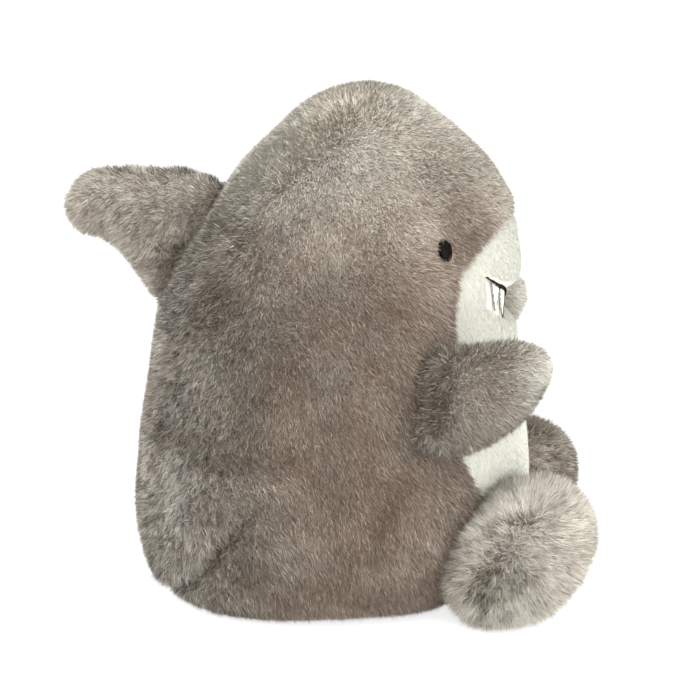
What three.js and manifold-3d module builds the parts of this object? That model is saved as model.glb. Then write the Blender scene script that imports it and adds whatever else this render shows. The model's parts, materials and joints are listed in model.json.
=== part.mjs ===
// A seated plush shark, in millimetres. +Z is up, the face looks along -Y, the dorsal fin points
// along +Y and the shark's right side is at -X. The origin is on the floor under the middle.
//
// Torso: two side panels, a pale face and belly panel, a seat panel, stuffing, a pouch of pellets,
// two snap-in eyes with washers, and the embroidered mouth with its teeth.
// Sewn on: a dorsal fin, two flippers and two feet, each two plush shells round a stuffed core.
import * as THREE from 'three';
import { mergeVertices } from 'three/addons/utils/BufferGeometryUtils.js';
import Module from 'manifold-3d';

const wasm = await Module();
wasm.setup();

// ---- Driving dimensions -------------------------------------------------------------------

const SEAM_GAP = 0.3; // between neighbouring pieces
const SEAT_GAP = 0.4; // above the seat panel, measured straight up over its sloping edge
const PLUSH = 2.4; // plush fabric with its pile pressed flat
const FIT = 0.5; // between the plush and the stuffing behind it
const LIMB_CLEARANCE = 0.7; // from a limb to the torso wherever its seam lets it bend

// The torso from the flat seat to the crown. Each station gives its height, how far the front and
// the back reach from the middle, and half its width.
const TORSO_STATIONS = [
  { height: 0, front: 24, back: 28, half: 25 },
  { height: 2.2, front: 33, back: 36.5, half: 32.5 },
  { height: 8, front: 40, back: 43, half: 38.6 },
  { height: 18, front: 45.2, back: 46.4, half: 42.4 },
  { height: 33, front: 47, back: 46.4, half: 44 },
  { height: 50, front: 46.6, back: 44.8, half: 43.2 },
  { height: 66, front: 45.4, back: 42.2, half: 41 },
  { height: 81, front: 45.4, back: 36.6, half: 38 },
  { height: 94, front: 43.8, back: 29.6, half: 34 },
  { height: 104, front: 39.4, back: 23.4, half: 29.5 },
  { height: 112.5, front: 32.8, back: 16, half: 23.8 },
  { height: 119, front: 25.8, back: 8.6, half: 17 },
  { height: 124, front: 18.8, back: 0.8, half: 10 },
  { height: 126.4, front: 10.2, back: -9.8, half: 0 },
];
const TORSO_SQUARENESS = 2.2; // exponent of the superellipse sections
const TORSO_ROWS = 15;
const TORSO_SIDES = 32;

// Half the outline of the pale face and belly panel, seen from the front, as [x, z].
const FACE_HALF_OUTLINE = [
  [0, 93.5], [11, 93], [20, 90.5], [27, 85], [30, 78], [31.2, 66], [33.6, 50], [33.6, 40],
  [29.5, 30], [22, 18], [14, 8],
];
const FACE_MIDDLE = [33.6, 50]; // half its width and its height at the widest place
// The upper edge of the seat panel, seen from the side, as [y, z].
const SEAT_SEAM = [[60, 1], [37, 6], [17, 31], [-2, 33], [-22, 29], [-40, 17], [-60, 12]];

const EYE = { row: 7.6, angle: 60.5, radius: 3.1, dome: 1.9, shank: 1.2, length: 6.5 };
const WASHER = { radius: 5, thickness: 1, depth: 3.4 };

// The mouth is a line of thread, nearly level in the middle and rising at its corners. Its thread is
// a radius, and it stands off the plush.
const MOUTH = { halfWidth: 25, middleHeight: 77, cornerLift: 5, thread: 0.6, stand: 0.5 };
const TEETH = { count: 12, width: 3.9, height: 6.6, thread: 0.25, thickness: 0.7, gap: 0.4 };

// A flattened bag with a round mouth on top, whose rim slants in by its lip. Its corners are rounded
// by a share of its height.
const POUCH = { radius: 26, floor: 3, top: 25, mouth: 9, lip: 2, wall: 0.8, rounding: 0.42 };

// A limb's outline is [away from its seam, along its seam]. Its seam runs through the origin.
const FLIPPER = {
  outline: [
    [0, -10.5], [5, -12], [13, -9.8], [20.5, -4.8], [25.2, 2.8], [27.6, 9.8], [24.5, 13.8],
    [16.5, 14.4], [7, 12.6], [0, 10],
  ],
  centre: [13, 1],
  halfThickness: 6.6,
  narrowest: 11, // from the centre to the nearest part of the rim
  seam: [-40.4, -21.8, 56], // middle of the seam on the right side
  seamTilt: 7, // degrees, its top leaning in over the shoulder
  spread: 15, // degrees, how far the flipper points out from straight ahead
  swing: [-8, 50], // degrees, in to the belly and out to the side
};
const FIN = {
  outline: [
    [0, -16.5], [10.3, -15], [19.2, -11.8], [25.6, -8], [29.7, -2.4], [29.6, 4], [26.4, 7],
    [18.3, 7.6], [12.2, 9.8], [6.5, 13.2], [0, 17],
  ],
  centre: [13, -3],
  halfThickness: 6,
  narrowest: 10,
  seam: [0, 34.7, 86.4],
  lean: 25.6, // degrees, how far its seam leans forward, following the back
  swing: [-30, 30], // degrees, to each side
};
const FOOT = {
  centre: [-29, -43.8, 17.3],
  radii: [17.4, 17.6, 17.4],
  seam: [-29, -37, 30], // middle of the upper seam that it lifts about
  swing: [0, 25], // degrees it lifts
  splitTilt: 34, // degrees, how far its own seam leans from upright
};

const COLOURS = {
  greyPlush: 0x9a8f83,
  headPlush: 0xa99e90,
  creamPlush: 0xe9e7dc,
  stuffing: 0xf2f2ef,
  pouch: 0xd9d5cc,
  pellets: 0xc9ccd2,
  blackPlastic: 0x17140f,
  nylon: 0xdcdcdc,
  blackThread: 0x15120f,
  whiteThread: 0xf7f7f4,
};

// ---- Solids and booleans ------------------------------------------------------------------

function toSolid(geometry) {
  const bare = geometry.clone();
  bare.deleteAttribute('normal');
  bare.deleteAttribute('uv');
  const merged = mergeVertices(bare, 1e-4);
  return new wasm.Manifold(new wasm.Mesh({
    numProp: 3,
    vertProperties: Float32Array.from(merged.attributes.position.array),
    triVerts: Uint32Array.from(merged.index.array),
  }));
}

function toGeometry(solid) {
  const { vertProperties, triVerts } = solid.getMesh();
  const geometry = new THREE.BufferGeometry();
  geometry.setAttribute('position', new THREE.BufferAttribute(vertProperties, 3));
  geometry.setIndex(new THREE.BufferAttribute(triVerts, 1));
  geometry.computeVertexNormals();
  return geometry;
}

// Closes a skin over a stack of rings, from the top down, each counter-clockwise seen from the top.
// The first and the last ring are single points.
function loft(rings) {
  const sides = rings[1].length;
  const points = rings.flat();
  const starts = rings.map((_, i) => rings.slice(0, i).reduce((sum, ring) => sum + ring.length, 0));
  const triangles = [];
  for (let i = 0; i + 1 < rings.length; i++) {
    for (let j = 0; j < sides; j++) {
      const next = (j + 1) % sides;
      const [a, b] = [starts[i] + j, starts[i] + next];
      const [c, d] = [starts[i + 1] + j, starts[i + 1] + next];
      if (rings[i].length === 1) triangles.push([starts[i], c, d]);
      else if (rings[i + 1].length === 1) triangles.push([a, starts[i + 1], b]);
      else triangles.push([a, d, b], [a, c, d]);
    }
  }
  const geometry = new THREE.BufferGeometry().setFromPoints(points);
  geometry.setIndex(triangles.flat());
  geometry.computeVertexNormals();
  return geometry;
}

// Moves every point inwards along its normal.
function inset(geometry, distance) {
  const moved = geometry.clone();
  const { position, normal } = moved.attributes;
  for (let i = 0; i < position.count; i++) {
    position.setXYZ(
      i,
      position.getX(i) - normal.getX(i) * distance,
      position.getY(i) - normal.getY(i) * distance,
      position.getZ(i) - normal.getZ(i) * distance,
    );
  }
  return moved;
}

function block([x0, x1], [y0, y1], [z0, z1]) {
  const geometry = new THREE.BoxGeometry(x1 - x0, y1 - y0, z1 - z0);
  geometry.translate((x0 + x1) / 2, (y0 + y1) / 2, (z0 + z1) / 2);
  return toSolid(geometry);
}

function mirrored(geometry) {
  const copy = geometry.clone();
  copy.scale(-1, 1, 1);
  const index = copy.index.array;
  for (let i = 0; i < index.length; i += 3) [index[i], index[i + 1]] = [index[i + 1], index[i]];
  copy.computeVertexNormals();
  return copy;
}

const FAR = 200; // well past the shark in every direction

// ---- Meshes -------------------------------------------------------------------------------

function mesh(name, shape, color, roughness = 0.95) {
  const geometry = shape.isBufferGeometry ? shape : toGeometry(shape);
  const material = new THREE.MeshStandardMaterial({ color, roughness, metalness: 0 });
  const made = new THREE.Mesh(geometry, material);
  made.name = name;
  return made;
}

// ---- Torso surface ------------------------------------------------------------------------

const reaches = new THREE.CatmullRomCurve3(
  TORSO_STATIONS.map((s) => new THREE.Vector3(s.front, s.back, s.height)), false, 'catmullrom', 0.5,
);
const halves = new THREE.CatmullRomCurve3(
  TORSO_STATIONS.map((s) => new THREE.Vector3(s.half, 0, s.height)), false, 'catmullrom', 0.5,
);

// The point at a station number, whole or part, and an angle from the front towards the right side.
function torsoPoint(station, angle) {
  const t = station / (TORSO_STATIONS.length - 1);
  const { x: front, y: back, z } = reaches.getPoint(t);
  const bend = (value) => Math.sign(value) * Math.abs(value) ** (2 / TORSO_SQUARENESS);
  const x = -halves.getPoint(t).x * bend(Math.sin(angle));
  const y = (back - front) / 2 - ((front + back) / 2) * bend(Math.cos(angle));
  return new THREE.Vector3(x, y, z);
}

function torsoNormal(station, angle) {
  const step = 0.02;
  const around = torsoPoint(station, angle + step).sub(torsoPoint(station, angle - step));
  const up = torsoPoint(station + step, angle).sub(torsoPoint(station - step, angle));
  return up.cross(around).normalize();
}

// The front of the torso at a given width and height.
function facePoint(x, z) {
  let [low, high] = [0, TORSO_STATIONS.length - 1];
  for (let i = 0; i < 30; i++) {
    const middle = (low + high) / 2;
    if (torsoPoint(middle, 0).z < z) low = middle;
    else high = middle;
  }
  let [ahead, beside] = [0, Math.PI / 2];
  for (let i = 0; i < 30; i++) {
    const middle = (ahead + beside) / 2;
    if (-torsoPoint(low, middle).x < Math.abs(x)) ahead = middle;
    else beside = middle;
  }
  const point = torsoPoint(low, ahead);
  point.x *= -Math.sign(x || 1);
  return point;
}

function torsoGeometry() {
  const last = TORSO_STATIONS.length - 1;
  const rings = [[new THREE.Vector3(0, 0, 0)]];
  for (let i = 0; i < TORSO_ROWS; i++) {
    const station = (last * i) / TORSO_ROWS;
    rings.push(Array.from({ length: TORSO_SIDES }, (_, j) =>
      torsoPoint(station, (-2 * Math.PI * j) / TORSO_SIDES)));
  }
  rings.push([torsoPoint(last, 0)]);
  return loft(rings.reverse());
}

// ---- Torso pieces -------------------------------------------------------------------------

function faceRegion(margin) {
  const [widest, middle] = FACE_MIDDLE;
  const grow = 1 + margin / widest;
  const edge = new THREE.SplineCurve(FACE_HALF_OUTLINE.map(([x, z]) => new THREE.Vector2(x, z)));
  const half = edge.getPoints(22);
  const outline = [...half, ...half.slice(1).reverse().map((p) => new THREE.Vector2(-p.x, p.y))];
  const shape = new THREE.Shape(
    outline.map((p) => new THREE.Vector2(p.x * grow, middle + (p.y - middle) * grow)),
  );
  const geometry = new THREE.ExtrudeGeometry(shape, { depth: FAR, bevelEnabled: false });
  geometry.rotateX(Math.PI / 2); // the outline's y becomes z, and it runs along -Y
  return toSolid(geometry);
}

function seatRegion(margin) {
  const edge = new THREE.SplineCurve(SEAT_SEAM.map(([y, z]) => new THREE.Vector2(y, z + margin)));
  const [[back], [front]] = [SEAT_SEAM[0], SEAT_SEAM[SEAT_SEAM.length - 1]];
  const under = -10;
  const shape = new THREE.Shape([
    ...edge.getPoints(20), new THREE.Vector2(front, under), new THREE.Vector2(back, under),
  ]);
  const geometry = new THREE.ExtrudeGeometry(shape, { depth: FAR, bevelEnabled: false });
  geometry.translate(0, 0, -FAR / 2);
  geometry.rotateZ(Math.PI / 2); // x and y turn to y and -x
  geometry.rotateY(Math.PI / 2);
  return toSolid(geometry);
}

function eyeFrame(side) {
  const angle = THREE.MathUtils.degToRad(EYE.angle) * side;
  const frame = new THREE.Group();
  frame.position.copy(torsoPoint(EYE.row, angle));
  const normal = torsoNormal(EYE.row, angle);
  frame.quaternion.setFromUnitVectors(new THREE.Vector3(0, 0, 1), normal);
  frame.updateMatrix();
  return frame;
}

// A turned solid on +Z from [radius, height] points that start and end on the axis.
function turned(points, sides) {
  return new THREE.LatheGeometry(points.map(([r, z]) => new THREE.Vector2(r, z)), sides)
    .rotateX(Math.PI / 2);
}

function post(radius, from, to, sides = 16) {
  return toSolid(turned([[0, from], [radius, from], [radius, to], [0, to]], sides));
}

function eyePieces(name, side) {
  const frame = eyeFrame(side);
  const { radius, dome, shank, length } = EYE;
  const lift = SEAM_GAP; // the dome's flat back stands this far off the plush
  const turns = Array.from({ length: 5 }, (_, i) => (Math.PI / 2) * (i / 5));
  const arc = turns.map((a) => [radius * Math.cos(a), lift + dome * Math.sin(a)]);
  const stem = [[0, -length], [shank, -length], [shank, lift]];
  const eye = turned([...stem, ...arc, [0, lift + dome]], 20);
  const inner = shank + SEAM_GAP;
  const [top, bottom] = [-WASHER.depth, -WASHER.depth - WASHER.thickness];
  const washer = turned([
    [inner, bottom], [WASHER.radius, bottom], [WASHER.radius, top], [inner, top], [inner, bottom],
  ], 20);
  const group = new THREE.Group();
  group.position.copy(frame.position);
  group.quaternion.copy(frame.quaternion);
  group.add(mesh(`eye_${name}`, eye, COLOURS.blackPlastic, 0.25));
  group.add(mesh(`eye_washer_${name}`, washer, COLOURS.nylon, 0.5));
  return group;
}

function eyeHole(side, radius, from, to) {
  const frame = eyeFrame(side);
  return post(radius, from, to).transform(frame.matrix.toArray());
}

function tubeThrough(points, radius, sides, steps) {
  const section = new THREE.Shape().absarc(0, 0, radius, 0, 2 * Math.PI);
  return new THREE.ExtrudeGeometry(section, {
    extrudePath: new THREE.CatmullRomCurve3(points),
    steps,
    curveSegments: sides / 2,
    bevelEnabled: false,
  });
}

const mouthHeight = (x) => MOUTH.middleHeight + MOUTH.cornerLift * (x / MOUTH.halfWidth) ** 4;

function standingOff(x, z, distance) {
  const point = facePoint(x, z);
  point.y -= distance;
  return point;
}

// The corners of tooth number i: two on the mouth line and its tip below them.
function toothCorners(i) {
  const left = (i - TEETH.count / 2) * TEETH.width;
  const right = left + TEETH.width;
  const middle = (left + right) / 2;
  const lower = (x, by) => [x, mouthHeight(x) - MOUTH.thread - by];
  return [lower(left, 0), lower(right, 0), lower(middle, TEETH.height)];
}

function mouthEmbroidery() {
  const xs = Array.from({ length: 11 }, (_, i) => MOUTH.halfWidth * (i / 5 - 1));
  const line = xs.map((x) => standingOff(x, mouthHeight(x), MOUTH.thread + MOUTH.stand));
  let thread = toSolid(tubeThrough(line, MOUTH.thread, 8, 14));
  const stand = TEETH.thread + MOUTH.stand;
  const pastTip = 1.03; // so that the two strokes of a tooth's outline cross
  for (let i = 0; i < TEETH.count; i++) {
    const [left, right, tip] = toothCorners(i);
    for (const [x, z] of [left, right]) {
      const from = new THREE.Vector2(x, z + MOUTH.thread);
      const stroke = [0, 0.5, pastTip].map((t) => from.clone().lerp(new THREE.Vector2(...tip), t));
      const path = stroke.map((p) => standingOff(p.x, p.y, stand));
      thread = thread.add(toSolid(tubeThrough(path, TEETH.thread, 6, 3)));
    }
  }
  return thread;
}

function tooth(i) {
  const [left, right, tip] = toothCorners(i);
  const { width, height, thread, gap, thickness } = TEETH;
  const inRadius = (width * height) / (width + 2 * Math.hypot(width / 2, height));
  const shrink = 1 - (thread + gap) / inRadius;
  const middle = [(left[0] + right[0]) / 2, (left[1] + right[1]) / 2 - inRadius];
  const corners = [left, tip, right].map(([x, z]) => [
    middle[0] + (x - middle[0]) * shrink, middle[1] + (z - middle[1]) * shrink,
  ]);
  const at = (distance) => corners.map(([x, z]) => standingOff(x, z, distance));
  const back = at(MOUTH.stand);
  const front = at(MOUTH.stand + thickness);
  const centre = (ring) => ring.reduce((sum, p) => sum.add(p), new THREE.Vector3()).divideScalar(3);
  return loft([[centre(front)], front, back, [centre(back)]]);
}

function pouchOutline(shrink, mouth) {
  const { radius, floor, top, rounding } = POUCH;
  const [r, low, high] = [radius - shrink, floor + shrink, top - shrink];
  const round = (high - low) * rounding;
  const turns = Array.from({ length: 5 }, (_, i) => (Math.PI / 2) * (i / 4));
  const points = [[0, low]];
  for (const a of turns) {
    points.push([r - round + round * Math.sin(a), low + round - round * Math.cos(a)]);
  }
  for (const a of turns) {
    points.push([r - round + round * Math.cos(a), high - round + round * Math.sin(a)]);
  }
  points.push(mouth ? [mouth, high] : [0, high]);
  return points;
}

function torsoPieces() {
  const skin = torsoGeometry();
  const whole = toSolid(skin);
  const shell = whole.subtract(toSolid(inset(skin, PLUSH)));
  const face = faceRegion(0);
  const seat = seatRegion(0);
  const behind = [-FAR, FAR];

  const sides = shell
    .subtract(faceRegion(SEAM_GAP))
    .subtract(seatRegion(SEAT_GAP))
    .subtract(block([-SEAM_GAP / 2, SEAM_GAP / 2], behind, behind));
  const right = sides.intersect(block([-FAR, 0], behind, behind));
  const hole = [EYE.shank + SEAM_GAP, -2 * PLUSH, 2 * PLUSH];
  const rightPanel = right.subtract(eyeHole(1, ...hole));

  const { radius, thickness } = WASHER;
  const pocket = [radius + SEAM_GAP, -EYE.length - thickness, PLUSH];
  const pouch = POUCH.radius + FIT;
  const stuffing = toSolid(inset(skin, PLUSH + FIT))
    .subtract(eyeHole(1, ...pocket))
    .subtract(eyeHole(-1, ...pocket))
    .subtract(post(pouch, -FAR, POUCH.top + FIT, 24));

  const hollow = pouchOutline(POUCH.wall, POUCH.mouth - POUCH.lip).reverse();
  const bag = [...pouchOutline(0, POUCH.mouth), ...hollow];
  const pieces = [
    mesh('side_panel_right', rightPanel, COLOURS.headPlush),
    mesh('side_panel_left', mirrored(toGeometry(rightPanel)), COLOURS.headPlush),
    mesh('face_belly_panel', shell.intersect(face).subtract(seatRegion(SEAT_GAP)),
      COLOURS.creamPlush),
    mesh('seat_panel', shell.intersect(seat), COLOURS.greyPlush),
    mesh('body_stuffing', stuffing, COLOURS.stuffing),
    mesh('pellet_pouch', turned(bag, 18), COLOURS.pouch),
    mesh('pellet_fill', turned(pouchOutline(POUCH.wall + SEAM_GAP), 18), COLOURS.pellets, 0.4),
    mesh('mouth_embroidery', mouthEmbroidery(), COLOURS.blackThread, 0.6),
    eyePieces('right', 1),
    eyePieces('left', -1),
  ];
  for (let i = 0; i < TEETH.count; i++) {
    pieces.push(mesh(`tooth_${i + 1}`, tooth(i), COLOURS.whiteThread, 0.6));
  }
  return pieces;
}

// ---- Sewn-on limbs ------------------------------------------------------------------------

// A closed cushion over a flat outline: full in the middle and pinched to nothing at its rim.
// It is drawn in by a wall's thickness for the surfaces that lie inside the plush.
function cushion({ outline, centre, halfThickness, narrowest }, wall) {
  const [sides, steps] = [20, 5];
  const keep = 1 - wall / narrowest;
  const half = halfThickness - wall;
  const edge = new THREE.SplineCurve(outline.map(([u, v]) => new THREE.Vector2(u, v)));
  const seamSides = 4; // the rim's last stretch is the straight seam
  const rim = edge.getPoints(sides - seamSides);
  const [from, to] = [rim[rim.length - 1], rim[0]];
  for (let i = 1; i < seamSides; i++) rim.push(from.clone().lerp(to, i / seamSides));
  const ring = (reach, level) => rim.map((p) => new THREE.Vector3(
    centre[0] + (p.x - centre[0]) * reach, centre[1] + (p.y - centre[1]) * reach, level,
  ));
  const rings = [[new THREE.Vector3(centre[0], centre[1], half)]];
  for (let i = 1; i < 2 * steps; i++) {
    const angle = (Math.PI * i) / (2 * steps);
    rings.push(ring(Math.sin(angle) * keep, half * Math.cos(angle)));
  }
  rings.push([new THREE.Vector3(centre[0], centre[1], -half)]);
  return loft(rings);
}

// Two half shells and a core, cut apart across the plane z = 0 of the limb's own frame.
// skinAt gives the limb's surface drawn in by a wall's thickness.
function shellsAndCore(skinAt, cutters) {
  const trim = (solid) => cutters.reduce((left, cutter) => left.subtract(cutter), solid);
  const shell = trim(toSolid(skinAt(0)).subtract(toSolid(skinAt(PLUSH))));
  const wide = [-FAR, FAR];
  return {
    above: shell.intersect(block(wide, wide, [SEAM_GAP / 2, FAR])),
    below: shell.intersect(block(wide, wide, [-FAR, -SEAM_GAP / 2])),
    core: trim(toSolid(skinAt(PLUSH + FIT))),
  };
}

// The torso as a limb meets it while it bends about its seam, in the limb's own frame.
function torsoSweep(seam, axis, [from, to], frame) {
  const torso = toSolid(inset(torsoGeometry(), -LIMB_CLEARANCE));
  const toLocal = frame.clone().invert();
  return [from, (from + to) / 2, to].map((degrees) => {
    const turn = new THREE.Matrix4()
      .makeRotationAxis(axis, -THREE.MathUtils.degToRad(degrees));
    const about = new THREE.Matrix4().makeTranslation(seam)
      .multiply(turn)
      .multiply(new THREE.Matrix4().makeTranslation(seam.clone().negate()));
    return torso.transform(toLocal.clone().multiply(about).toArray());
  });
}

// A flat limb's own frame: x leads away from the seam, y runs along it and z is through the limb.
function limbFrame(position, out, seam) {
  const across = out.clone().addScaledVector(seam, -out.dot(seam)).normalize();
  return new THREE.Matrix4()
    .makeBasis(across, seam, across.clone().cross(seam))
    .setPosition(position);
}

function limbGroup(frame, meshes) {
  const group = new THREE.Group();
  frame.decompose(group.position, group.quaternion, group.scale);
  group.add(...meshes);
  return group;
}

function flipper(name, side) {
  const tilt = THREE.MathUtils.degToRad(FLIPPER.seamTilt);
  const spread = THREE.MathUtils.degToRad(FLIPPER.spread);
  const position = new THREE.Vector3(FLIPPER.seam[0] * side, FLIPPER.seam[1], FLIPPER.seam[2]);
  const seam = new THREE.Vector3(Math.sin(tilt) * side, 0, Math.cos(tilt));
  const out = new THREE.Vector3(-Math.sin(spread) * side, -Math.cos(spread), 0);
  const frame = limbFrame(position, out, seam);
  const outwards = seam.clone().multiplyScalar(-side); // positive turns swing the flipper out
  const cutters = torsoSweep(position, outwards, FLIPPER.swing, frame);
  const { above, below, core } = shellsAndCore((wall) => cushion(FLIPPER, wall), cutters);
  const [outer, inner] = side > 0 ? [above, below] : [below, above];
  return limbGroup(frame, [
    mesh(`flipper_outer_${name}`, outer, COLOURS.greyPlush),
    mesh(`flipper_inner_${name}`, inner, COLOURS.greyPlush),
    mesh(`flipper_stuffing_${name}`, core, COLOURS.stuffing),
  ]);
}

function dorsalFin() {
  const lean = THREE.MathUtils.degToRad(FIN.lean);
  const position = new THREE.Vector3(...FIN.seam);
  const seam = new THREE.Vector3(0, Math.sin(lean), -Math.cos(lean));
  const out = new THREE.Vector3(0, Math.cos(lean), Math.sin(lean));
  const frame = limbFrame(position, out, seam);
  const cutters = torsoSweep(position, seam, FIN.swing, frame);
  const { above, below, core } = shellsAndCore((wall) => cushion(FIN, wall), cutters);
  return limbGroup(frame, [
    mesh('fin_panel_right', above, COLOURS.headPlush),
    mesh('fin_panel_left', below, COLOURS.headPlush),
    mesh('fin_stuffing', core, COLOURS.stuffing),
  ]);
}

// The right foot, a ball hollowed where it meets the torso, with its own seam across z = 0.
function foot() {
  const skinAt = (wall) => new THREE.SphereGeometry(1, 20, 12)
    .scale(...FOOT.radii.map((radius) => radius - wall))
    .rotateX(Math.PI / 2);
  const tilt = Math.PI / 2 - THREE.MathUtils.degToRad(FOOT.splitTilt);
  const frame = new THREE.Matrix4().makeRotationX(tilt).setPosition(...FOOT.centre);
  const lifting = new THREE.Vector3(-1, 0, 0);
  const cutters = torsoSweep(new THREE.Vector3(...FOOT.seam), lifting, FOOT.swing, frame);
  const floor = block([-FAR, FAR], [-FAR, FAR], [-FAR, 0]);
  cutters.push(floor.transform(frame.clone().invert().toArray()));
  const world = ([key, solid]) => [key, toGeometry(solid.transform(frame.toArray()))];
  return Object.fromEntries(Object.entries(shellsAndCore(skinAt, cutters)).map(world));
}

function feet() {
  const { above, below, core } = foot();
  const side = (name, shape) => [
    mesh(`foot_upper_${name}`, shape(above), COLOURS.headPlush),
    mesh(`foot_sole_${name}`, shape(below), COLOURS.greyPlush),
    mesh(`foot_stuffing_${name}`, shape(core), COLOURS.stuffing),
  ];
  return [...side('right', (geometry) => geometry), ...side('left', mirrored)];
}

const shark = new THREE.Group();
shark.add(...torsoPieces(), dorsalFin(), flipper('right', 1), flipper('left', -1), ...feet());
shark.updateMatrixWorld(true);

export default shark;
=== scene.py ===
"""Looks of a small seated plush shark: sewn plush skins with real strands of pile, embroidery and eyes."""
import json
import math

import bpy
import numpy as np
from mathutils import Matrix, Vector
from mathutils.bvhtree import BVHTree


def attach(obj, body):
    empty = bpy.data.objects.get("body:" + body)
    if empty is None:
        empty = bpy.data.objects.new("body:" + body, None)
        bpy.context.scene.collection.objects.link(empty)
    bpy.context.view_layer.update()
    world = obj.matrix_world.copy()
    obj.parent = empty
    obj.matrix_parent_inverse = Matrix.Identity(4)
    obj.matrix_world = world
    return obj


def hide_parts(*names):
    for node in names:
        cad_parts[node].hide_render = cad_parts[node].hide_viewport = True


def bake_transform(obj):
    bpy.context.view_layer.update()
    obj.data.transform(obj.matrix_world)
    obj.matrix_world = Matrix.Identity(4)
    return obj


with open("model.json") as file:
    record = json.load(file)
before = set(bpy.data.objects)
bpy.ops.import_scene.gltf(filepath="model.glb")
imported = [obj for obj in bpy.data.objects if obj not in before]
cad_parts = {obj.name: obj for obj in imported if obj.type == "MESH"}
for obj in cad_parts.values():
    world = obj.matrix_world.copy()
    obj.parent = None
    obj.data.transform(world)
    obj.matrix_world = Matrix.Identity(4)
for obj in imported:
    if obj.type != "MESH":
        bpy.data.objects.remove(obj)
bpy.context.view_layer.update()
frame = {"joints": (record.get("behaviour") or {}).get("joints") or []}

MM = 0.001  # the shapes below are in millimetres in the CAD frame, and become metres in make_mesh

# ---- Driving dimensions, in millimetres ----------------------------------------------------

# Torso stations from seat to crown: height, front, back, half width, all at the backing cloth's
# surface, which lies under the pile.
TORSO = [
    (1.4, -7, 7, 10),
    (1.3, -21.5, 28, 23.5),
    (3.0, -30.8, 37.4, 31.5),
    (8.6, -38.4, 43.4, 37.0),
    (18, -45.6, 45.8, 40.6),
    (33, -47.8, 45.2, 42.4),
    (50, -46.0, 43.5, 41.6),
    (66, -44.5, 40.9, 39.4),
    (81, -44.4, 35.3, 36.4),
    (93, -42.6, 28.4, 32.4),
    (103.0, -37.8, 22.0, 28.0),
    (110.8, -31.2, 14.8, 22.4),
    (116.8, -24.6, 7.6, 15.8),
    (121.4, -17.6, 0, 9.0),
    (123.4, -10.2, -9.8, 0),
]
TORSO_SQUARENESS = 2.2
# Half of the face panel's outline in front view, (across, height), from its top down.
FACE_OUTLINE = [
    (0, 93.5), (11, 93), (20, 90.5), (27, 85), (30, 78), (31.2, 66), (33.6, 50), (33.6, 40),
    (29.5, 30), (22, 18), (14, 8),
]
# The seat panel's upper seam in side view, (y, height), from front to back.
SEAT_SEAM = [(-60, 12), (-40, 17), (-22, 29), (-2, 33), (17, 31), (37, 6), (60, 1)]

# Limb stations run out from the seam: distance, low and high edge along the seam, half thickness.
# The seam pinches the two skins together at the flippers' and the fin's roots.
FLIPPER = [
    (-3, -9, 8.4, 0.8), (0, -10.9, 10, 2.0), (3.5, -11.7, 11.1, 4.4), (8, -11.0, 12, 5.6),
    (13, -9.0, 13.0, 6.0), (18, -5.6, 13.5, 5.7), (22.3, -1.6, 13.2, 5.0), (25.4, 3.0, 12.2, 3.6),
    (27.2, 6.8, 10.6, 1.6), (27.6, 8.6, 8.6, 0),
]
FLIPPER_SPREAD = 15  # degrees out from straight ahead
ROOT_SLANT = 0.36  # how far the top of a flipper's root leads its bottom, along the seam
FIN = [
    (-3, -15, 16, 3.4), (0, -15.8, 15.8, 4.0), (3, -15.4, 13.8, 5.2), (7, -14.6, 11.2, 5.7),
    (12.2, -12.6, 8.2, 5.3), (18.3, -9.8, 7.0, 4.7), (24.0, -6.8, 8.2, 4.0), (26.8, -4.6, 6.4, 3.1),
    (28.8, -2.2, 4.2, 1.7), (29.5, 0.8, 0.8, 0),
]
FOOT_RADII = (18.7, 13.7, 15.4)  # of the cloth under the long pile: up and forward, across it, sideways
FOOT_CENTRE = (-29, -43.6, 17.5)

EYE_PLACE = (-30.9, -26, 88.8)
EYE_RADIUS = 3.1
EYE_DOME = 1.2
SHANK_RADIUS = 1.2
SHANK_LENGTH = 6.5
WASHER_RADIUS = 5
WASHER_DEPTH = 3.4  # of its top face below the plush
WASHER_THICKNESS = 1.1
WASHER_ROUNDING = 0.3

MOUTH_HALF_WIDTH = 25
MOUTH_HEIGHT = 77.3  # at the middle, and the corners stand higher
MOUTH_LIFT = 5
FOLD_HALF_WIDTH = 18.5  # of the fold under the lip
FOLD_DEPTH = 4.4
TOOTH_COUNT = 12
TEETH_HALF_WIDTH = 24
TOOTH_HEIGHT = 6.6
THREAD_RADIUS = 0.15
OUTLINE_THREAD_RADIUS = 0.09
MOUTH_STITCH_GAP = 0.16
TOOTH_STITCH_GAP = 0.2

# The pellet pouch's wall in section, (radius, height), up its outside and back down its inside.
POUCH_PROFILE = [
    (0.5, 4.6), (19, 4.6), (24, 7), (26, 13), (23.5, 19), (16, 23.5), (9, 25),
    (9, 24.2), (15, 22.6), (22.4, 18.4), (24.8, 13), (23, 7.6), (18.6, 5.4), (0.5, 5.4),
]
BEAD_COUNT = 260
BEAD_RADIUS = 1.5
BEAD_HALF_HEIGHT = 1.1
BEAD_SPREAD = 20  # of the heap of beads, from the pouch's middle
BEAD_FLOOR = 7.4
BEAD_TOP = 17  # at the middle of the heap
HEAP_SLOPE = 1 / 8

CAMERA_AIM = (0, -4.4, 59.6)
CAMERA_DISTANCE = 650
CAMERA_ELEVATION = 12
CAMERA_FIELD = 168.7  # width of the view at the aim

# Area lights: name, place, size, watts and colour.
LIGHTS = [
    ("key", (-480, -40, 680), 420, 4.6, (1, 0.99, 0.98)),
    ("front", (-520, -420, 260), 380, 1.1, (0.97, 0.99, 1)),
    ("fill", (-330, -580, 50), 300, 2.4, (1, 1, 1)),
    ("back", (-260, 560, 300), 400, 2.4, (1, 1, 1)),
]
LIGHT_AIM = (0, 0, 60)
FLOOR_REACH = 4000.0

# ---- Numbers on arrays of points -----------------------------------------------------------


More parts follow.
